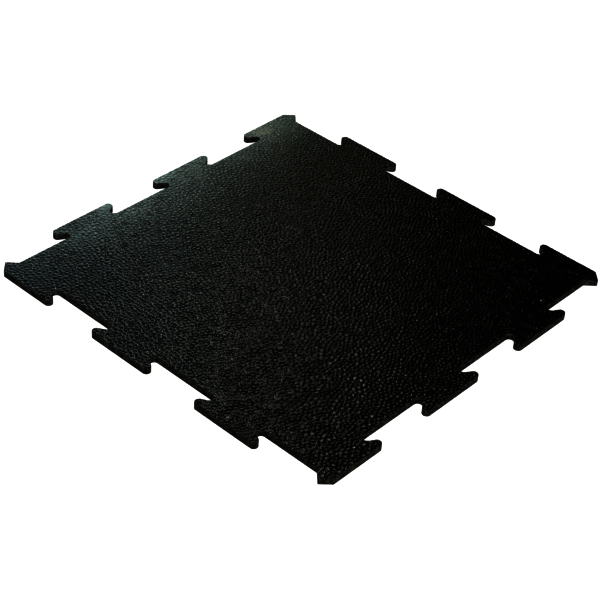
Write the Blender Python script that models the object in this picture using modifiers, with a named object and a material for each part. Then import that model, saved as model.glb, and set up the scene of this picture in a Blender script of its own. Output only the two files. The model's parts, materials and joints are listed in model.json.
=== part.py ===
"""Interlocking rubber floor tile, lying flat with its walking face up.

One slab of rubber, square in plan, with a row of dovetail tabs and sockets along each side. Going round the tile
clockwise, seen from above, each side starts with a socket and ends with a tab, so every side joins every other
side. The last tab of a side runs into a pointed corner, and four such points meet where four tiles meet.

Metres, +Z up. The origin is the centre of the underside.
"""

import math

import bmesh
import bpy
from mathutils import Matrix, Vector

LAID_PITCH = 1.000
THICKNESS = 0.018
SIDES = 4
TABS_PER_SIDE = 3
TAB_PITCH = 0.329
TAB_DEPTH = 0.047
FLANK_ANGLE = math.radians(60)
CORNER_RADIUS = 0.0105
FLANK_PLAY = 0.0035
FACE_PLAY = 0.001
RIM_RADIUS = 0.0015

ARC_STEPS = 10
RIM_STEPS = 2
SHARP_ANGLE = math.radians(30)
RIM_ANGLE = math.radians(60)
FLAT_ANGLE = math.radians(1)
MERGE_DISTANCE = 0.00001

RUBBER_COLOUR = (0.016, 0.017, 0.016, 1.0)
RUBBER_ROUGHNESS = 0.55


def clear_scene():
    for obj in list(bpy.data.objects):
        bpy.data.objects.remove(obj, do_unlink=True)


def rubber_material():
    material = bpy.data.materials.new("rubber")
    material.use_nodes = True
    shader = material.node_tree.nodes["Principled BSDF"]
    shader.inputs["Base Color"].default_value = RUBBER_COLOUR
    shader.inputs["Roughness"].default_value = RUBBER_ROUGHNESS
    shader.inputs["Metallic"].default_value = 0.0
    return material


def side_corners():
    """One side's sharp corners, clockwise, each with the radius that rounds it.

    A corner is (along, out): along runs clockwise from the middle of the side, and out is the distance from the
    tile's centre. The flanks lean so far, and their corners are so round, that each runs in an S from a round
    throat to a round nose, and each tab is wider at its end than at its root. Tabs and sockets take half a tab
    pitch each, and the first socket and the last tab also take what is left at the ends of the side.
    """
    body_edge = (LAID_PITCH - FACE_PLAY) / 2
    root = body_edge - TAB_DEPTH / 2
    end = body_edge + TAB_DEPTH / 2
    lean = TAB_DEPTH * math.tan(FLANK_ANGLE) / 2

    corners = []
    for tab in range(TABS_PER_SIDE):
        tab_start = (tab + 0.5 - TABS_PER_SIDE / 2) * TAB_PITCH + FLANK_PLAY / 2
        corners.append((Vector((tab_start + lean, root)), CORNER_RADIUS))
        corners.append((Vector((tab_start - lean, end)), CORNER_RADIUS))
        if tab < TABS_PER_SIDE - 1:
            tab_finish = (tab + 1 - TABS_PER_SIDE / 2) * TAB_PITCH - FLANK_PLAY / 2
            corners.append((Vector((tab_finish + lean, end)), CORNER_RADIUS))
            corners.append((Vector((tab_finish - lean, root)), CORNER_RADIUS))
    corners.append((Vector((root, end)), 0.0))
    corners.append((Vector((body_edge, body_edge)), 0.0))
    corners.append((Vector((root, root)), 0.0))
    return corners


def tile_corners():
    """The sharp corners of all the sides, clockwise round the tile from its +Y side, in plan coordinates."""
    corners = []
    for side in range(SIDES):
        turn = Matrix.Rotation(-side * math.tau / SIDES, 2)
        corners += [(turn @ corner, radius) for corner, radius in side_corners()]
    return corners


def rounded(before, corner, after, radius):
    """Points of the arc of this radius that rounds a corner between its two neighbours."""
    if radius == 0.0:
        return [corner]
    to_before = (before - corner).normalized()
    to_after = (after - corner).normalized()
    half_angle = to_before.angle(to_after) / 2
    centre = corner + (to_before + to_after).normalized() * radius / math.sin(half_angle)
    start = corner + to_before * radius / math.tan(half_angle) - centre
    sweep = start.angle_signed(corner + to_after * radius / math.tan(half_angle) - centre)
    return [
        centre + Matrix.Rotation(-sweep * step / ARC_STEPS, 2) @ start
        for step in range(ARC_STEPS + 1)
    ]


def tile_outline():
    corners = tile_corners()
    points = []
    for index, (corner, radius) in enumerate(corners):
        before = corners[index - 1][0]
        after = corners[(index + 1) % len(corners)][0]
        points += rounded(before, corner, after, radius)
    return points


def slab_curve(name, outline, thickness):
    """A filled flat curve, extruded both ways from its own plane."""
    curve = bpy.data.curves.new(name, "CURVE")
    curve.dimensions = "2D"
    curve.fill_mode = "BOTH"
    curve.extrude = thickness / 2
    spline = curve.splines.new("POLY")
    spline.points.add(len(outline) - 1)
    for spline_point, point in zip(spline.points, outline):
        spline_point.co = (point.x, point.y, 0.0, 1.0)
    spline.use_cyclic_u = True
    return bpy.data.objects.new(name, curve)


def welded_mesh(name, curve_object):
    """The curve as a mesh, with its two caps joined to its wall and each cap made one flat face."""
    graph = bpy.context.evaluated_depsgraph_get()
    mesh = bpy.data.meshes.new_from_object(curve_object.evaluated_get(graph))
    mesh.name = name
    work = bmesh.new()
    work.from_mesh(mesh)
    bmesh.ops.remove_doubles(work, verts=work.verts, dist=MERGE_DISTANCE)
    bmesh.ops.dissolve_limit(work, angle_limit=FLAT_ANGLE, verts=work.verts, edges=work.edges)
    bmesh.ops.recalc_face_normals(work, faces=work.faces)
    work.to_mesh(mesh)
    work.free()
    mesh.shade_smooth()
    mesh.set_sharp_from_angle(angle=SHARP_ANGLE)
    return mesh


def rubber_tile(collection):
    guide = slab_curve("tile_outline", tile_outline(), THICKNESS)
    guide.location.z = THICKNESS / 2
    collection.objects.link(guide)
    bpy.context.view_layer.update()

    tile = bpy.data.objects.new("rubber_tile", welded_mesh("rubber_tile", guide))
    tile.matrix_world = guide.matrix_world.copy()
    collection.objects.link(tile)
    bpy.data.objects.remove(guide, do_unlink=True)

    rim = tile.modifiers.new("rounded rim", "BEVEL")
    rim.width = RIM_RADIUS
    rim.segments = RIM_STEPS
    rim.limit_method = "ANGLE"
    rim.angle_limit = RIM_ANGLE
    rim.use_clamp_overlap = False
    even = tile.modifiers.new("even triangles", "TRIANGULATE")
    even.ngon_method = "BEAUTY"
    tile.data.materials.clear()
    tile.data.materials.append(rubber_material())
    return tile


def main():
    clear_scene()
    collection = bpy.data.collections.new("interlocking rubber tile")
    bpy.context.scene.collection.children.link(collection)
    rubber_tile(collection)


main()
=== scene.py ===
"""Looks of an interlocking rubber floor tile that lies flat with its pebbled walking face up.

The tile is one moulded piece. Two closed shapes are worked out with numpy, a sheet of pebbles and a
blank with the tile's outline and rim, and what they share is the tile. Metres, +Z up, in the frame of
the CAD model.
"""

import json
import math
from functools import reduce

import bpy
import numpy as np
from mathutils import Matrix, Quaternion, Vector
from mathutils.geometry import delaunay_2d_cdt


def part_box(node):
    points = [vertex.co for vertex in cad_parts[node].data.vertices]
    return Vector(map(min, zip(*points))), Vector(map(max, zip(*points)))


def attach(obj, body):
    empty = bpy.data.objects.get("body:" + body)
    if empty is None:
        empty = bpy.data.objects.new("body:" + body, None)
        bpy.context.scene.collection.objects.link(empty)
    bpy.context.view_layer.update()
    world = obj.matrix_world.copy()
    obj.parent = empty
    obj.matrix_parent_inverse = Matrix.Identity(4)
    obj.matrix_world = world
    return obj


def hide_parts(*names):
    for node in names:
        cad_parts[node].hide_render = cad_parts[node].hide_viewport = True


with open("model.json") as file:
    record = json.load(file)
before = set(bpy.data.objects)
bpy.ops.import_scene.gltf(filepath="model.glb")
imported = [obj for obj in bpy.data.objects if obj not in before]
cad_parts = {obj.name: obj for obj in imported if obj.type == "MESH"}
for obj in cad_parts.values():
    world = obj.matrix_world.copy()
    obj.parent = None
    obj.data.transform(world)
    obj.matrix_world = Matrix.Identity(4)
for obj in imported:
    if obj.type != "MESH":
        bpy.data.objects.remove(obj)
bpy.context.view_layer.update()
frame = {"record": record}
tile_low, tile_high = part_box("rubber_tile")
mounts = {mount["name"]: mount["pos_m"] for mount in frame["record"]["mounts"]}

# Plan of the tile, as in the CAD model
THICKNESS = tile_high.z
TAB_END = mounts["tab_end_plus_y"][1]
SOCKET_FLOOR = mounts["socket_floor_plus_y"][1]
BODY_EDGE = (TAB_END + SOCKET_FLOOR) / 2
TAB_DEPTH = TAB_END - SOCKET_FLOOR
SIDES = 4
TABS_PER_SIDE = 3
TAB_PITCH = 0.329
FLANK_ANGLE = math.radians(60)
CORNER_RADIUS = 0.0105
FLANK_PLAY = 0.0035

# Edge of the tile
ARC_STEPS = 10
RUN_STEP = 0.010
PART_DIGITS = 6
RIM_RADIUS = 0.0012
RIM_STEPS = 2
FOOT_CHAMFER = 0.0004
WALL_WAVE = 0.00012
WALL_WAVE_LENGTH = 0.04
CUT_MARK_PITCH = 0.0085
CUT_MARK_DEPTH = 0.0003
STEPS_PER_CUT_MARK = 4
CUTTER_HEADROOM = 0.002

# Pebbles of the walking face
PEBBLE_PITCH = 0.0109
PEBBLE_SCATTER = 0.50
EVENING_ROUNDS = 5
PEBBLE_DEPTH = 0.0012
CROWN_RISE = 0.00036
CROWN_SHARE = 0.7
PEBBLE_SINK = 0.00020
PEBBLE_TILT = math.radians(2.5)
PEBBLE_FULLNESS = (0.54, 0.68)
NECK_HEIGHT = 0.5
NECK_RARITY = 4
FACE_WAVE = 0.00015
FACE_WAVE_LENGTH = 0.13
WORN_RIM_WIDTH = 0.016
SHEET_CLEARANCE = 0.00002
SHEET_MARGIN = 0.012
SHEET_BOTTOM = -0.010
POINT_TOLERANCE = SHEET_CLEARANCE / 1000
PEBBLE_SEED = 7

# Slow wave of the walls and the walking face
WAVE_HEADINGS = (0.3, 2.2, 4.4)
WAVE_STRETCHES = (1.0, 0.81, 1.27)
WAVE_PHASE = 5

# Shading, and each material's slot
SHARP_ANGLE = math.radians(38)
FACE_TILT_LIMIT = math.radians(50)
FACE_SLOT, EDGE_SLOT, UNDERSIDE_SLOT = 0, 1, 2

# Colours of the rubber and of what lies on it, and of the painted shade and painted sheen
CROWN_COLOUR = (0.0072, 0.0075, 0.0066, 1.0)
# Painted shade: the valleys between the pebbles are coloured darker than the crowns.
SHADED_VALLEY_COLOUR = (0.0014, 0.0015, 0.0013, 1.0)
EDGE_COLOUR = (0.0230, 0.0232, 0.0206, 1.0)
UNDERSIDE_COLOUR = (0.0120, 0.0120, 0.0115, 1.0)
DUST_COLOUR = (0.092, 0.092, 0.081, 1.0)
# Painted sheen: a pale cool colour laid over the side that faces -X.
PAINTED_SHEEN_COLOUR = (0.067, 0.081, 0.080, 1.0)
SCUFF_COLOUR = (0.030, 0.031, 0.028, 1.0)
FLECK_COLOUR = (0.22, 0.22, 0.19, 1.0)

# Patterns that the materials share
CLOUD_SPAN = (0.3, 0.7)
PLAIN_DETAIL = 2.0
FINE_DETAIL = 4.0
GRAIN_DETAIL = 3.0
GRAIN_SIZE = 0.0005
GRAIN_DEPTH = 0.00005
COARSE_GRAIN_DEPTH = 2 * GRAIN_DEPTH
GRAIN_SHARE = 0.5
CRUMB_SIZE = 0.0024
CRUMB_SHARE = 0.5
SEAM_WIDTH = 0.10
DUST_MOTTLE_SIZE = 0.07
DUST_MOTTLE_SHARE = 0.35
DUST_START = 0.72
DUST_SOFTNESS = 0.22
WEAR_REACH = 0.45
WEAR_SPAN = (0.72, 1.0)

# Finish of the walking face
FACE_SPECULAR = 0.40
CROWN_SPAN = (0.25, 0.75)
PEBBLE_TONES = (0.7, 1.3)
FACE_CRUMB_TONES = (0.8, 1.2)
FACE_CLOUD_SIZE = 0.16
FACE_CLOUD_TONES = (0.8, 1.2)
FACE_FILM = {"Patch Size": 0.09, "Amount": 0.10}
FACE_FILM_SHARE = 0.10
RIM_SPOT_SIZE = 0.004
RIM_SCUFF_SHARE = 0.35
RIM_SCUFF_ROUGHNESS = 0.2
# Painted sheen, lighter towards the side that faces -X: its span and growth in X, its fade in Y, its clouds
# and its share.
PAINTED_SHEEN_SPAN = (-0.28, -0.52)
PAINTED_SHEEN_FALLOFF = 2.0
PAINTED_SHEEN_FADE = (-0.50, -0.15)
PAINTED_SHEEN_FADE_SHARES = (0.35, 1.0)
PAINTED_SHEEN_CLOUD_SIZE = 0.11
PAINTED_SHEEN_CLOUD_SHARES = (0.4, 1.0)
PAINTED_SHEEN_SHARE = 0.85
DUST_PATCH_MIDDLE = (-0.503, 0.373)
DUST_PATCH_RADII = (0.018, 0.030)
DUST_PATCH_RAG_SIZE = 0.012
DUST_PATCH_RAG = (-0.45, 0.45)
DUST_PATCH_EDGE = (1.25, 0.55)
DUST_PATCH_PEBBLE_SHARES = (0.45, 1.0)
DUST_PATCH_SHARE = 0.8
DUST_PATCH_ROUGHNESS = 0.35
FLECK_SPACING = 0.034
FLECK_SIZE = 0.0016
FLECK_EDGE = (1.3, 0.7)
FLECK_CHANCE = 0.035
FLECK_SHARE = 0.6
VALLEY_ROUGHNESS = 0.23
CROWN_ROUGHNESS = 0.165
ROUGHNESS_CLOUD_SIZE = 0.03
ROUGHNESS_SPREAD = (-0.02, 0.03)

# Finish of the cut edge
EDGE_SPECULAR = 0.22
EDGE_CRUMB_SIZE = 2 * CRUMB_SIZE
EDGE_CRUMB_TONES = (0.1, 2.0)
STREAK_SIZE = 0.0011
STREAK_SQUEEZE = 0.06
STREAK_TONES = (0.6, 1.4)
RUBBED_HEIGHT = 3 * RIM_RADIUS
EDGE_SPOT_SIZE = 0.003
EDGE_SCUFF_SHARE = 0.4
EDGE_FILM = {"Patch Size": 0.035, "Amount": 0.16}
EDGE_FILM_SHARE = 0.22
EDGE_FILM_ROUGHNESS = 0.12
EDGE_ROUGHNESSES = (0.62, 0.80)

# Finish of the underside
UNDERSIDE_SPECULAR = 0.30
UNDERSIDE_CRUMB_SIZE = 1.4 * CRUMB_SIZE
UNDERSIDE_CRUMB_TONES = (0.7, 1.3)
UNDERSIDE_CLOUD_SIZE = 0.12
UNDERSIDE_CLOUD_TONES = (0.8, 1.25)
UNDERSIDE_FILM = {"Patch Size": 0.12, "Amount": 0.18}
UNDERSIDE_FILM_SHARE = 0.2
UNDERSIDE_FILM_ROUGHNESS = 0.15
UNDERSIDE_ROUGHNESSES = (0.50, 0.66)

# Camera that took the photograph, fitted to the tile's outline
CAMERA_AZIMUTH = 0.7010
CAMERA_ELEVATION = 0.6558
CAMERA_ROLL = 0.0808
CAMERA_DISTANCE = 3.9337
CAMERA_AIM = Vector((0.0532, -0.0734, 0.0))
CAMERA_LENS = 100.85
SENSOR_WIDTH = 36.0

# Floor, light and print
FLOOR_SIZE = 60.0
FLOOR_GAP = 0.0002
FLOOR_COLOUR = (0.02, 0.02, 0.02, 1.0)
FLOOR_GLOW = 1.0
FLOOR_ROUGHNESS = 0.9
WHITE = (1.0, 1.0, 1.0, 1.0)
COOL_LIGHT = (0.72, 0.90, 1.0)
STRAW_LIGHT = (1.0, 1.0, 0.78)
SOFT_WHITE = (1.0, 1.0, 0.95)
ROOM_LIGHT = 0.02
ROOM_SHADE_SEEN = 1.0
PRINT_GAMMA = 0.32

# Lamps as rows of (name, azimuth, elevation, distance, size, power, colour), with the angles in degrees
LAMPS = [
    ("cool window", -115, 25, 4.0, 2.0, 48.0, COOL_LIGHT),
    ("low back box", -134, 21, 4.0, 2.0, 23.0, STRAW_LIGHT),
    ("back lamp", -135, 50, 3.0, 0.35, 14.0, SOFT_WHITE),
    ("left lamp", -60, 50, 3.0, 0.8, 90.0, SOFT_WHITE),
    ("high box", -20, 58, 3.0, 1.5, 190.0, SOFT_WHITE),
    ("near box", 40, 52, 3.0, 1.5, 190.0, SOFT_WHITE),
    ("right box", 88, 20, 4.0, 1.5, 330.0, SOFT_WHITE),
]


def unit(vectors):
    """Vectors of length one along the last axis, and zero where the length is zero."""
    length = np.linalg.norm(vectors, axis=-1, keepdims=True)
    return np.divide(vectors, length, out=np.zeros_like(vectors), where=length > 0)


def slow_wave(points, length):
    """A smooth wave from -1 to 1 over the plan, the mean of three sines that run three ways."""
    heading = np.array(WAVE_HEADINGS)
    along = points[..., :1] * np.cos(heading) + points[..., 1:2] * np.sin(heading)
    turn = math.tau * along / (length * np.array(WAVE_STRETCHES))
    return np.sin(turn + WAVE_PHASE * heading).mean(axis=-1)


def side_corners():
    """One side's sharp corners and their radii, clockwise, as rows of (along, out, radius).

    Along runs clockwise from the middle of the side and out is the distance from the tile's centre. A
    tab's flanks lean by half its depth times the tangent of their angle, to either side of the body's
    edge, and their round corners leave only a short straight between them, so that each flank is an S.
    """
    lean = TAB_DEPTH * math.tan(FLANK_ANGLE) / 2
    rows = []
    for tab in range(TABS_PER_SIDE):
        start = (tab + 0.5 - TABS_PER_SIDE / 2) * TAB_PITCH + FLANK_PLAY / 2
        rows += [(start + lean, SOCKET_FLOOR, CORNER_RADIUS), (start - lean, TAB_END, CORNER_RADIUS)]
        finish = (tab + 1 - TABS_PER_SIDE / 2) * TAB_PITCH - FLANK_PLAY / 2
        if tab < TABS_PER_SIDE - 1:
            rows += [(finish + lean, TAB_END, CORNER_RADIUS), (finish - lean, SOCKET_FLOOR, CORNER_RADIUS)]
    rows += [(SOCKET_FLOOR, TAB_END, 0.0), (BODY_EDGE, BODY_EDGE, 0.0), (SOCKET_FLOOR, SOCKET_FLOOR, 0.0)]
    return np.array(rows)


def tile_path():
    """Points round the tile, clockwise, as an (n, 2) array.

    Each corner becomes an arc: with a and b the arms from the arc's middle to its two ends and w the
    angle between them, its points are middle + (a sin((1 - t) w) + b sin(t w)) / sin(w) for t from 0 to
    1. A sharp corner's arms are zero. Then every stretch is cut into equal parts no longer than its
    step, which is short on the socket floors for the sake of their cut marks, and stretches of no length
    go.
    """
    side = side_corners()
    turn = -np.arange(SIDES)[:, None] * math.tau / SIDES
    x = side[:, 0] * np.cos(turn) - side[:, 1] * np.sin(turn)
    y = side[:, 0] * np.sin(turn) + side[:, 1] * np.cos(turn)
    corner = np.stack([x, y], axis=-1).reshape(-1, 2)
    radius = np.tile(side[:, 2], SIDES)[:, None]

    back = unit(np.roll(corner, 1, axis=0) - corner)
    onward = unit(np.roll(corner, -1, axis=0) - corner)
    half = np.arccos((back * onward).sum(axis=1, keepdims=True)) / 2
    middle = corner + unit(back + onward) * radius / np.sin(half)
    first_arm = corner + back * radius / np.tan(half) - middle
    last_arm = corner + onward * radius / np.tan(half) - middle
    sweep = (math.pi - 2 * half)[:, :, None]
    t = np.linspace(0.0, 1.0, ARC_STEPS + 1)[None, :, None]
    first_share, last_share = np.sin((1 - t) * sweep), np.sin(t * sweep)
    arc = (first_share * first_arm[:, None] + last_share * last_arm[:, None]) / np.sin(sweep)
    bend = (middle[:, None] + arc).reshape(-1, 2)

    stretch = np.roll(bend, -1, axis=0) - bend
    length = np.linalg.norm(stretch, axis=1)
    at_floor = np.isclose(np.abs(bend).max(axis=1), SOCKET_FLOOR)
    step = np.where(at_floor & np.roll(at_floor, -1), CUT_MARK_PITCH / STEPS_PER_CUT_MARK, RUN_STEP)
    parts = np.ceil(np.round(length / step, PART_DIGITS)).astype(int)
    source = np.repeat(np.arange(len(bend)), parts)
    part = np.arange(parts.sum()) - np.repeat(np.cumsum(parts) - parts, parts)
    return bend[source] + stretch[source] * (part / parts[source])[:, None]


def outward(path):
    """Outward arrows at a clockwise path's points; a shift along them keeps the path's distance.

    The two stretches at a point have left-hand normals p and q, and the arrow is (p + q) / (1 + p.q).
    """
    ahead = unit(np.roll(path, -1, axis=0) - path)
    after = np.stack([-ahead[:, 1], ahead[:, 0]], axis=1)
    before = np.roll(after, 1, axis=0)
    return (before + after) / (1 + (before * after).sum(axis=1, keepdims=True))


def edge_profile():
    """Rows of (inset, height) up the tile's edge.

    A small chamfer at the foot, an upright wall, a quarter circle at the rim, and a straight run above
    the walking face that the cut leaves behind.
    """
    bend = np.linspace(0.0, math.pi / 2, RIM_STEPS + 1)
    rim = np.stack([1 - np.cos(bend), np.sin(bend) - 1], axis=1) * RIM_RADIUS + (0.0, THICKNESS)
    foot = [(FOOT_CHAMFER, 0.0), (0.0, FOOT_CHAMFER)]
    top = [(RIM_RADIUS, THICKNESS + CUTTER_HEADROOM)]
    return np.concatenate([foot, rim, top])


def blank():
    """A closed blank with the tile's outline: the edge profile carried along the tile's path.

    A point is path - arrow * (inset + dent). The dent is a slow wave along the wall, and on the socket
    floors also the scallops |sin| that a cutter leaves from one end of the floor to the other.
    """
    path = tile_path()
    arrow = outward(path)
    profile = edge_profile()
    length = np.linalg.norm(path - np.roll(path, 1, axis=0), axis=1).cumsum()
    dent = WALL_WAVE * (1 + slow_wave(path, WALL_WAVE_LENGTH))
    on_floor = np.abs(np.abs(path).max(axis=1) - SOCKET_FLOOR) < CUT_MARK_DEPTH
    dent += CUT_MARK_DEPTH * on_floor * np.abs(np.sin(math.pi * length / CUT_MARK_PITCH))

    rows, count = len(profile), len(path)
    plan = path - arrow * (profile[:, :1, None] + dent[:, None])
    height = np.broadcast_to(profile[:, 1, None, None], (rows, count, 1))
    points = np.concatenate([plan, height], axis=2).reshape(-1, 3)

    index = np.arange(rows * count).reshape(rows, count)
    onward = np.roll(index, -1, axis=1)
    wall = np.stack([index[:-1], index[1:], onward[1:], onward[:-1]], axis=2).reshape(-1, 4)
    return closed_mesh("blank", points, [wall, index[:1], index[-1:, ::-1]])


def triangles_between(points):
    """Triangles that join plan points to their nearest neighbours, as rows of three point numbers."""
    return np.array(delaunay_2d_cdt(points.tolist(), [], [], 0, POINT_TOLERANCE)[2])


def pebble_middles():
    """Middles of the pebbles, evenly spread but in no rows, and the triangles between them.

    They start on a triangular lattice, each moved at random by up to a share of the pitch. Then, a few
    times, every middle moves to the mean of the centres of the triangles round it, which evens the
    pebbles out. The outermost ones, past the sheet's margin, stay where they are.
    """
    reach = TAB_END + SHEET_MARGIN + 2 * PEBBLE_PITCH
    row_gap = math.sin(math.pi / 3)
    last_i = math.ceil(reach / PEBBLE_PITCH)
    last_j = math.ceil(reach / PEBBLE_PITCH / row_gap)
    i, j = np.meshgrid(np.arange(-last_i, last_i + 1), np.arange(-last_j, last_j + 1))
    even = np.stack([i + j % 2 / 2, j * row_gap], axis=-1).reshape(-1, 2) * PEBBLE_PITCH
    chance = np.random.default_rng(PEBBLE_SEED)
    middle = even + chance.uniform(-PEBBLE_SCATTER, PEBBLE_SCATTER, even.shape) * PEBBLE_PITCH
    inner = np.abs(even).max(axis=1) < reach - PEBBLE_PITCH

    for _ in range(EVENING_ROUNDS):
        triangle = triangles_between(middle)
        centre = np.repeat(middle[triangle].mean(axis=1), 3, axis=0)
        centre_sum = np.zeros_like(middle)
        np.add.at(centre_sum, triangle.ravel(), centre)
        around = np.bincount(triangle.ravel(), minlength=len(middle))
        middle[inner] = centre_sum[inner] / around[inner, None]
    return middle, triangles_between(middle)


def nearness_to_rim(points):
    """One at the tile's outline, falling in a straight line to zero a rim's width away from it.

    The distance to the nearest point of the path comes from |a - b|^2 = |a|^2 + |b|^2 - 2 a.b.
    """
    path = tile_path()
    square = (points ** 2).sum(axis=1)[:, None] + (path ** 2).sum(axis=1) - 2 * points @ path.T
    distance = np.sqrt(np.maximum(square.min(axis=1), 0))
    return np.clip(1 - distance / WORN_RIM_WIDTH, 0, 1)


def pebble_sheet():
    """A closed sheet of pebbles, larger than the tile.

    The low points between pebbles are the centres of the triangles that join their middles, so a
    pebble's low points, sorted by their angle round its middle, are the ring of its valley. A crown
    point stands on the line from the middle to each low point, a share of the way out, and a peak over
    the middle. Each pebble is tilted and sunk a little at random. Quads join valley and crown, triangles
    join crown and peak, and the sheet is closed by a plain bottom and sides. The faces keep a number of
    their pebble's own and its nearness to the rim, and the points keep how high up the crown they are.
    """
    chance = np.random.default_rng(PEBBLE_SEED + 1)
    middle, triangle = pebble_middles()
    low = middle[triangle].mean(axis=1)
    pebble, corner = triangle.ravel(), np.repeat(np.arange(len(triangle)), 3)
    arm = low[corner] - middle[pebble]
    order = np.lexsort((np.arctan2(arm[:, 1], arm[:, 0]), pebble))
    order = order[np.abs(middle[pebble[order]]).max(axis=1) < TAB_END + SHEET_MARGIN]
    corner, arm = corner[order], arm[order]
    kept, first, pebble = np.unique(pebble[order], return_index=True, return_inverse=True)
    middle = middle[kept]
    step = np.arange(len(pebble))
    onward = np.where(np.roll(pebble, -1) == pebble, step + 1, first[pebble])

    offset = arm * chance.uniform(*PEBBLE_FULLNESS, len(kept))[pebble, None]
    tilt = np.tan(PEBBLE_TILT) * chance.normal(0, 1, (len(kept), 2))
    rise = (offset * tilt[pebble]).sum(axis=1) - CROWN_RISE
    wave = FACE_WAVE * (1 + slow_wave(middle, FACE_WAVE_LENGTH)) / 2
    sink = PEBBLE_SINK * chance.uniform(0, 1, len(kept)) + wave
    peak_height = THICKNESS - SHEET_CLEARANCE - sink - np.maximum(np.maximum.reduceat(rise, first), 0)
    neck = NECK_HEIGHT * chance.uniform(0, 1, len(low)) ** NECK_RARITY
    low_height = THICKNESS - FACE_WAVE - PEBBLE_DEPTH * (1 - neck)

    valley = np.column_stack([low, low_height])
    crown = np.column_stack([middle[pebble] + offset, peak_height[pebble] + rise])
    peak = np.column_stack([middle, peak_height])
    at_bottom, flat = (0, 0, SHEET_BOTTOM), (1, 1, 0)
    points = np.concatenate([valley, valley * flat + at_bottom, peak * flat + at_bottom, peak, crown])
    below = np.zeros(2 * len(low) + len(kept))
    height = np.concatenate([below, np.ones(len(kept)), np.full(len(crown), CROWN_SHARE)])

    ahead = corner[onward]
    foot_at = 2 * len(low) + pebble
    peak_at = foot_at + len(kept)
    crown_at = 2 * (len(low) + len(kept)) + step
    open_edge = ~np.isin(corner * len(low) + ahead, ahead * len(low) + corner)
    slope = np.stack([corner, ahead, crown_at[onward], crown_at], axis=1)
    cap = np.stack([crown_at, crown_at[onward], peak_at], axis=1)
    base = np.stack([ahead + len(low), corner + len(low), foot_at], axis=1)
    side = np.stack([ahead, corner, corner + len(low), ahead + len(low)], axis=1)[open_edge]

    numbers = np.concatenate([kind.ravel() for kind in (slope, cap, base, side)])
    used, faces = np.unique(numbers, return_inverse=True)
    slope, cap, base, side = np.split(faces.ravel(), np.cumsum([slope.size, cap.size, base.size]))
    kinds = [slope.reshape(-1, 4), cap.reshape(-1, 3), base.reshape(-1, 3), side.reshape(-1, 4)]
    owner = np.concatenate([pebble, pebble, pebble, pebble[open_edge]])
    own_number = chance.uniform(0, 1, len(kept))
    marks = [
        ("pebble", "FACE", own_number[owner]),
        ("rim", "FACE", nearness_to_rim(middle)[owner]),
        ("crown", "POINT", height[used]),
    ]
    return closed_mesh("pebble_sheet", points[used], kinds, marks)


def closed_mesh(name, points, faces, marks=()):
    """An object from points, arrays of faces that are each of one kind, and rows of attributes."""
    mesh = bpy.data.meshes.new(name)
    mesh.from_pydata(points.tolist(), [], [face for kind in faces for face in kind.tolist()])
    for mark, domain, values in marks:
        mesh.attributes.new(mark, "FLOAT", domain).data.foreach_set("value", values.astype(np.float32))
    mesh.validate()
    piece = bpy.data.objects.new(name, mesh)
    bpy.context.collection.objects.link(piece)
    return piece


def pebbled_tile(materials):
    """What the blank and the pebble sheet share, each face in the material that suits its tilt."""
    outer, sheet = blank(), pebble_sheet()
    cut = outer.modifiers.new("cut", "BOOLEAN")
    cut.operation = "INTERSECT"
    cut.solver = "MANIFOLD"
    cut.object = sheet
    graph = bpy.context.evaluated_depsgraph_get()
    mesh = bpy.data.meshes.new_from_object(outer.evaluated_get(graph))
    mesh.name = "pebbled_tile"
    for scrap in (outer, sheet):
        bpy.data.objects.remove(scrap, do_unlink=True)

    upness = np.zeros(len(mesh.polygons) * 3)
    mesh.polygons.foreach_get("normal", upness)
    upness = upness[2::3]
    limit = math.cos(FACE_TILT_LIMIT)
    level = np.where(upness < 0, UNDERSIDE_SLOT, FACE_SLOT)
    slot = np.where(np.abs(upness) > limit, level, EDGE_SLOT)
    mesh.materials.clear()
    for material in materials:
        mesh.materials.append(material)
    mesh.polygons.foreach_set("material_index", slot.astype(np.int32))
    mesh.shade_smooth()
    mesh.set_sharp_from_angle(angle=SHARP_ANGLE)

    tile = bpy.data.objects.new("pebbled_tile", mesh)
    bpy.context.collection.objects.link(tile)
    return tile


# Sockets of the colour mix node
MIX_FACTOR, MIX_FIRST, MIX_SECOND, MIX_RESULT = 0, 6, 7, 2


def place(tree, kind, inputs, **settings):
    """A node of this kind, with its inputs set to values or joined to other nodes' outputs."""
    node = tree.nodes.new(kind)
    for name, value in settings.items():
        setattr(node, name, value)
    for name, value in inputs.items():
        if isinstance(value, bpy.types.NodeSocket):
            tree.links.new(value, node.inputs[name])
        else:
            node.inputs[name].default_value = value
    return node


def maths(tree, operation, first, second=0.0):
    return place(tree, "ShaderNodeMath", {0: first, 1: second}, operation=operation).outputs[0]


def product(tree, *values):
    """The values multiplied together."""
    return reduce(lambda first, second: maths(tree, "MULTIPLY", first, second), values)


def total(tree, *values):
    """The values added together."""
    return reduce(lambda first, second: maths(tree, "ADD", first, second), values)


def remap(tree, value, low, high, to_low=0.0, to_high=1.0):
    """The value's stretch from low to high, mapped to the new stretch and kept inside it."""
    ends = {"Value": value, "From Min": low, "From Max": high, "To Min": to_low, "To Max": to_high}
    return place(tree, "ShaderNodeMapRange", ends).outputs["Result"]


def mix(tree, share, first, second, blend="MIX"):
    """The first colour, blended with the second by a share from zero to one."""
    inputs = {MIX_FACTOR: share, MIX_FIRST: first, MIX_SECOND: second}
    return place(tree, "ShaderNodeMix", inputs, data_type="RGBA", blend_type=blend).outputs[MIX_RESULT]


def covered(tree, colour, mask, share, cover):
    """The colour, hidden by this share of the cover's colour where the mask is one."""
    return mix(tree, product(tree, mask, share), colour, cover)


def grouped(tree, group, inputs):
    """The outputs of a node group that is placed in a tree with its own input values."""
    return place(tree, "ShaderNodeGroup", inputs, node_tree=group).outputs


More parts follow.
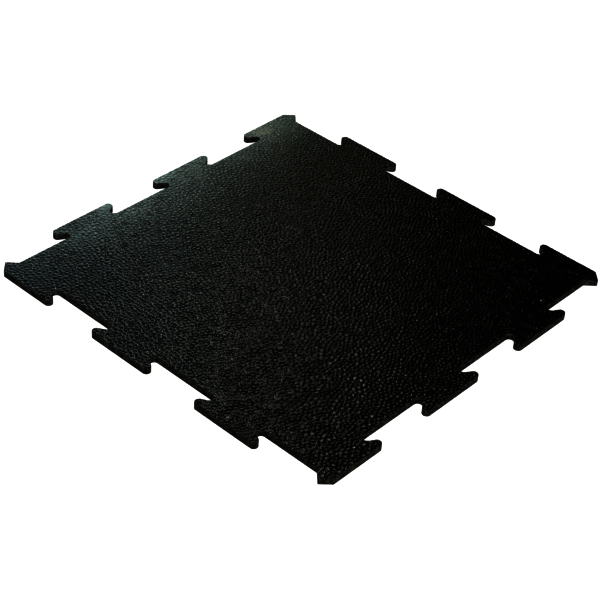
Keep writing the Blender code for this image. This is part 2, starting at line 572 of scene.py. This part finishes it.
def kept_number(tree, name):
    """A number that the mesh keeps for each of its faces or points."""
    return place(tree, "ShaderNodeAttribute", {}, attribute_name=name).outputs["Fac"]


def coordinates(tree, position):
    """The position's X, Y and Z outputs."""
    return place(tree, "ShaderNodeSeparateXYZ", {"Vector": position}).outputs


def chance_of(tree, cells):
    """A number from zero to one that is each cell's own."""
    return place(tree, "ShaderNodeSeparateColor", {"Color": cells}).outputs["Red"]


def noise(tree, position, size, detail=PLAIN_DETAIL):
    """Cloudy noise from about zero to one whose features are this many metres across."""
    scale = maths(tree, "DIVIDE", 1.0, size)
    inputs = {"Vector": position, "Scale": scale, "Detail": detail}
    return place(tree, "ShaderNodeTexNoise", inputs).outputs["Fac"]


def spread(tree, cloudy, low, high):
    """Cloudy noise with its middle stretch, where most of it lies, mapped to that from low to high."""
    return remap(tree, cloudy, *CLOUD_SPAN, low, high)


def node_group(name, inputs, outputs):
    """An empty shader node group with named sockets, and its inner inputs and outputs."""
    group = bpy.data.node_groups.new(name, "ShaderNodeTree")
    for socket, kind in inputs.items():
        group.interface.new_socket(socket, in_out="INPUT", socket_type=kind)
    for socket, kind in outputs.items():
        group.interface.new_socket(socket, in_out="OUTPUT", socket_type=kind)
    return group, group.nodes.new("NodeGroupInput").outputs, group.nodes.new("NodeGroupOutput").inputs


def rubber_grain_group():
    """Moulded crumb rubber: a fine grain over crumbs of unlike tone, with thin seams between them."""
    inputs = {
        "Position": "NodeSocketVector",
        "Grain Size": "NodeSocketFloat",
        "Crumb Size": "NodeSocketFloat",
    }
    outputs = {"Height": "NodeSocketFloat", "Tone": "NodeSocketFloat"}
    group, given, result = node_group("rubber grain", inputs, outputs)
    fine = noise(group, given["Position"], given["Grain Size"], GRAIN_DETAIL)
    crumbs = {"Vector": given["Position"], "Scale": maths(group, "DIVIDE", 1.0, given["Crumb Size"])}
    crumb = place(group, "ShaderNodeTexVoronoi", crumbs).outputs["Color"]
    seam = place(group, "ShaderNodeTexVoronoi", crumbs, feature="DISTANCE_TO_EDGE").outputs["Distance"]
    body = product(group, remap(group, seam, 0.0, SEAM_WIDTH), CRUMB_SHARE)
    group.links.new(chance_of(group, crumb), result["Tone"])
    group.links.new(total(group, product(group, fine, GRAIN_SHARE), body), result["Height"])
    return group


def dust_group():
    """Dust that lies in soft patches broken up by a finer mottle."""
    inputs = {"Position": "NodeSocketVector", "Patch Size": "NodeSocketFloat", "Amount": "NodeSocketFloat"}
    group, given, result = node_group("dust", inputs, {"Mask": "NodeSocketFloat"})
    broad = noise(group, given["Position"], given["Patch Size"])
    mottle_size = product(group, given["Patch Size"], DUST_MOTTLE_SIZE)
    mottle = noise(group, given["Position"], mottle_size, FINE_DETAIL)
    broad_part = product(group, broad, 1 - DUST_MOTTLE_SHARE)
    both = total(group, broad_part, product(group, mottle, DUST_MOTTLE_SHARE))
    start = maths(group, "SUBTRACT", DUST_START, given["Amount"])
    group.links.new(remap(group, both, start, total(group, start, DUST_SOFTNESS)), result["Mask"])
    return group


def edge_wear_group():
    """Rubbed spots that thin out away from an edge, from a nearness that is one at the edge."""
    inputs = {"Position": "NodeSocketVector", "Nearness": "NodeSocketFloat", "Spot Size": "NodeSocketFloat"}
    group, given, result = node_group("edge wear", inputs, {"Mask": "NodeSocketFloat"})
    spots = noise(group, given["Position"], given["Spot Size"], FINE_DETAIL)
    likely = total(group, spots, product(group, given["Nearness"], WEAR_REACH))
    group.links.new(remap(group, likely, *WEAR_SPAN), result["Mask"])
    return group


def rubber_material(name, specular_level, crumb_size, grain_group):
    """A new material's tree and shader, the Object coordinates of its patterns, and its rubber grain."""
    material = bpy.data.materials.new(name)
    material.use_nodes = True
    tree = material.node_tree
    shader = tree.nodes["Principled BSDF"]
    shader.inputs["Specular IOR Level"].default_value = specular_level
    position = place(tree, "ShaderNodeTexCoord", {}).outputs["Object"]
    sizes = {"Position": position, "Grain Size": GRAIN_SIZE, "Crumb Size": crumb_size}
    return material, tree, shader, position, grouped(tree, grain_group, sizes)


def finish_with(tree, shader, colour, roughness, height, depth):
    """Joins a colour, a roughness and a bump of this depth to the shader."""
    bump = place(tree, "ShaderNodeBump", {"Height": height, "Distance": depth, "Strength": 1.0})
    tree.links.new(colour, shader.inputs["Base Color"])
    tree.links.new(roughness, shader.inputs["Roughness"])
    tree.links.new(bump.outputs["Normal"], shader.inputs["Normal"])


def painted_sheen_mask(tree, position):
    """A painted sheen, pale and cloudy, that grows towards the side that faces -X and fades towards -Y."""
    along = coordinates(tree, position)
    growth = maths(tree, "POWER", remap(tree, along["X"], *PAINTED_SHEEN_SPAN), PAINTED_SHEEN_FALLOFF)
    fade = remap(tree, along["Y"], *PAINTED_SHEEN_FADE, *PAINTED_SHEEN_FADE_SHARES)
    cloud = spread(tree, noise(tree, position, PAINTED_SHEEN_CLOUD_SIZE), *PAINTED_SHEEN_CLOUD_SHARES)
    return product(tree, growth, fade, cloud)


def dust_patch_mask(tree, position, pebble):
    """One ragged oval patch of dust, which takes to some pebbles more than to others."""
    x, y = DUST_PATCH_MIDDLE
    wide, long = DUST_PATCH_RADII
    oval = {"Vector": position, "Location": (-x / wide, -y / long, 0.0), "Scale": (1 / wide, 1 / long, 0.0)}
    centred = place(tree, "ShaderNodeMapping", oval).outputs["Vector"]
    reach = place(tree, "ShaderNodeVectorMath", {0: centred}, operation="LENGTH").outputs["Value"]
    rag = spread(tree, noise(tree, position, DUST_PATCH_RAG_SIZE, FINE_DETAIL), *DUST_PATCH_RAG)
    inside = remap(tree, total(tree, reach, rag), *DUST_PATCH_EDGE)
    return product(tree, inside, remap(tree, pebble, 0, 1, *DUST_PATCH_PEBBLE_SHARES))


def fleck_mask(tree, position):
    """Small light flecks, one in the middle of a cell here and there."""
    cells = place(tree, "ShaderNodeTexVoronoi", {"Vector": position, "Scale": 1 / FLECK_SPACING}).outputs
    chosen = maths(tree, "LESS_THAN", chance_of(tree, cells["Color"]), FLECK_CHANCE)
    half = FLECK_SIZE / FLECK_SPACING / 2
    outer, inner = FLECK_EDGE
    return product(tree, chosen, remap(tree, cells["Distance"], half * outer, half * inner))


def walking_face_material(grain_group, dust, edge_wear):
    """Black rubber, satin on the crowns and duller in the valleys, with painted shade in the valleys, dust,
    a painted sheen and light flecks.
    """
    material, tree, shader, position, grain = rubber_material(
        "pebbled walking face", FACE_SPECULAR, CRUMB_SIZE, grain_group)
    pebble, rim = kept_number(tree, "pebble"), kept_number(tree, "rim")
    top = remap(tree, kept_number(tree, "crown"), *CROWN_SPAN)

    pebble_tone = remap(tree, pebble, 0, 1, *PEBBLE_TONES)
    crumb_tone = remap(tree, grain["Tone"], 0, 1, *FACE_CRUMB_TONES)
    cloud_tone = spread(tree, noise(tree, position, FACE_CLOUD_SIZE), *FACE_CLOUD_TONES)
    tone = product(tree, pebble_tone, crumb_tone, cloud_tone)
    # Painted shade: the colour darkens from the crowns down into the valleys.
    colour = mix(tree, 1.0, mix(tree, top, SHADED_VALLEY_COLOUR, CROWN_COLOUR), tone, "MULTIPLY")

    film = grouped(tree, dust, {"Position": position, **FACE_FILM})["Mask"]
    rubbed = {"Position": position, "Nearness": rim, "Spot Size": RIM_SPOT_SIZE}
    worn = product(tree, grouped(tree, edge_wear, rubbed)["Mask"], top)
    patch = dust_patch_mask(tree, position, pebble)
    colour = covered(tree, colour, film, FACE_FILM_SHARE, DUST_COLOUR)
    # Painted sheen over the side that faces -X.
    colour = covered(tree, colour, painted_sheen_mask(tree, position), PAINTED_SHEEN_SHARE, PAINTED_SHEEN_COLOUR)
    colour = covered(tree, colour, worn, RIM_SCUFF_SHARE, SCUFF_COLOUR)
    colour = covered(tree, colour, patch, DUST_PATCH_SHARE, DUST_COLOUR)
    colour = covered(tree, colour, fleck_mask(tree, position), FLECK_SHARE, FLECK_COLOUR)

    smooth = remap(tree, top, 0, 1, VALLEY_ROUGHNESS, CROWN_ROUGHNESS)
    cloudy = spread(tree, noise(tree, position, ROUGHNESS_CLOUD_SIZE), *ROUGHNESS_SPREAD)
    own = remap(tree, pebble, 0, 1, *ROUGHNESS_SPREAD)
    scuffed = product(tree, worn, RIM_SCUFF_ROUGHNESS)
    matt = maths(tree, "MAXIMUM", scuffed, product(tree, patch, DUST_PATCH_ROUGHNESS))
    roughness = total(tree, smooth, cloudy, own, matt)
    finish_with(tree, shader, colour, roughness, grain["Height"], GRAIN_DEPTH)
    return material


def cut_edge_material(grain_group, dust, edge_wear):
    """Matt cut rubber: crumbs of unlike tone, fine upright cut marks, a rubbed rim and some dust."""
    material, tree, shader, position, grain = rubber_material(
        "cut edge", EDGE_SPECULAR, EDGE_CRUMB_SIZE, grain_group)
    squeezed = {"Vector": position, "Scale": (1.0, 1.0, STREAK_SQUEEZE)}
    streak = noise(tree, place(tree, "ShaderNodeMapping", squeezed).outputs["Vector"], STREAK_SIZE)
    near_rim = remap(tree, coordinates(tree, position)["Z"], THICKNESS - RUBBED_HEIGHT, THICKNESS)

    crumb_tone = remap(tree, grain["Tone"], 0, 1, *EDGE_CRUMB_TONES)
    tone = product(tree, crumb_tone, spread(tree, streak, *STREAK_TONES))
    colour = mix(tree, 1.0, EDGE_COLOUR, tone, "MULTIPLY")
    film = grouped(tree, dust, {"Position": position, **EDGE_FILM})["Mask"]
    rubbed = {"Position": position, "Nearness": near_rim, "Spot Size": EDGE_SPOT_SIZE}
    worn = grouped(tree, edge_wear, rubbed)["Mask"]
    colour = covered(tree, colour, film, EDGE_FILM_SHARE, DUST_COLOUR)
    colour = covered(tree, colour, worn, EDGE_SCUFF_SHARE, SCUFF_COLOUR)

    dry = remap(tree, grain["Tone"], 0, 1, *EDGE_ROUGHNESSES)
    roughness = total(tree, dry, product(tree, film, EDGE_FILM_ROUGHNESS))
    finish_with(tree, shader, colour, roughness, total(tree, grain["Height"], streak), COARSE_GRAIN_DEPTH)
    return material


def underside_material(grain_group, dust):
    """Plain moulded rubber that has lain on a floor: crumbs, a fine grain and a thin film of dust."""
    material, tree, shader, position, grain = rubber_material(
        "underside", UNDERSIDE_SPECULAR, UNDERSIDE_CRUMB_SIZE, grain_group)
    crumb_tone = remap(tree, grain["Tone"], 0, 1, *UNDERSIDE_CRUMB_TONES)
    cloud_tone = spread(tree, noise(tree, position, UNDERSIDE_CLOUD_SIZE), *UNDERSIDE_CLOUD_TONES)
    colour = mix(tree, 1.0, UNDERSIDE_COLOUR, product(tree, crumb_tone, cloud_tone), "MULTIPLY")
    film = grouped(tree, dust, {"Position": position, **UNDERSIDE_FILM})["Mask"]
    colour = covered(tree, colour, film, UNDERSIDE_FILM_SHARE, DUST_COLOUR)

    dry = remap(tree, grain["Tone"], 0, 1, *UNDERSIDE_ROUGHNESSES)
    roughness = total(tree, dry, product(tree, film, UNDERSIDE_FILM_ROUGHNESS))
    finish_with(tree, shader, colour, roughness, grain["Height"], COARSE_GRAIN_DEPTH)
    return material


def pale_floor():
    """A plain floor just below the tile that glows like a light table, so that it prints white."""
    half, level = FLOOR_SIZE / 2, tile_low.z - FLOOR_GAP
    corners = [(-half, -half, level), (half, -half, level), (half, half, level), (-half, half, level)]
    mesh = bpy.data.meshes.new("floor")
    mesh.from_pydata(corners, [], [(0, 1, 2, 3)])
    material = bpy.data.materials.new("pale floor")
    material.use_nodes = True
    shader = material.node_tree.nodes["Principled BSDF"]
    shader.inputs["Base Color"].default_value = FLOOR_COLOUR
    shader.inputs["Emission Color"].default_value = WHITE
    shader.inputs["Emission Strength"].default_value = FLOOR_GLOW
    shader.inputs["Roughness"].default_value = FLOOR_ROUGHNESS
    shader.inputs["Specular IOR Level"].default_value = 0.0
    mesh.materials.append(material)
    floor = bpy.data.objects.new("floor", mesh)
    bpy.context.collection.objects.link(floor)


def toward(azimuth, elevation):
    """Unit vector from the tile to a place at this azimuth and elevation, counted as for the camera."""
    level = math.cos(elevation)
    return Vector((math.sin(azimuth) * level, -math.cos(azimuth) * level, math.sin(elevation)))


def photograph_camera():
    """The camera, turned to look from its azimuth and elevation and rolled about its own axis."""
    lens = bpy.data.cameras.new("camera")
    lens.lens = CAMERA_LENS
    lens.sensor_width = SENSOR_WIDTH
    camera = bpy.data.objects.new("camera", lens)
    back = toward(CAMERA_AZIMUTH, CAMERA_ELEVATION)
    camera.location = CAMERA_AIM + back * CAMERA_DISTANCE
    turn = back.to_track_quat("Z", "Y") @ Quaternion((0, 0, 1), CAMERA_ROLL)
    camera.rotation_euler = turn.to_euler()
    bpy.context.collection.objects.link(camera)
    bpy.context.scene.camera = camera


def soft_light(name, azimuth, elevation, distance, size, power, colour):
    """A square area light at this azimuth and elevation in degrees, aimed at the middle of the tile."""
    light = bpy.data.lights.new(name, "AREA")
    light.size = size
    light.energy = power
    light.color = colour
    lamp = bpy.data.objects.new(name, light)
    back = toward(math.radians(azimuth), math.radians(elevation))
    lamp.location = back * distance
    lamp.rotation_euler = back.to_track_quat("Z", "Y").to_euler()
    bpy.context.collection.objects.link(lamp)


def pale_room():
    """A room that looks pale to the camera and gives off little light of its own."""
    world = bpy.data.worlds.new("pale room")
    world.use_nodes = True
    tree = world.node_tree
    seen = place(tree, "ShaderNodeLightPath", {}).outputs["Is Camera Ray"]
    strength = remap(tree, seen, 0.0, 1.0, ROOM_LIGHT, ROOM_SHADE_SEEN)
    tree.links.new(strength, tree.nodes["Background"].inputs["Strength"])
    tree.nodes["Background"].inputs["Color"].default_value = WHITE
    bpy.context.scene.world = world


def studio():
    """The lamps, the room, and the hard print contrast that the photograph has."""
    for lamp in LAMPS:
        soft_light(*lamp)
    pale_room()
    print_settings = bpy.context.scene.view_settings
    print_settings.view_transform = "Standard"
    print_settings.gamma = PRINT_GAMMA


grain_group, dust, edge_wear = rubber_grain_group(), dust_group(), edge_wear_group()
tile = pebbled_tile([
    walking_face_material(grain_group, dust, edge_wear),
    cut_edge_material(grain_group, dust, edge_wear),
    underside_material(grain_group, dust),
])
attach(tile, "root")
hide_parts("rubber_tile")
pale_floor()
photograph_camera()
studio()
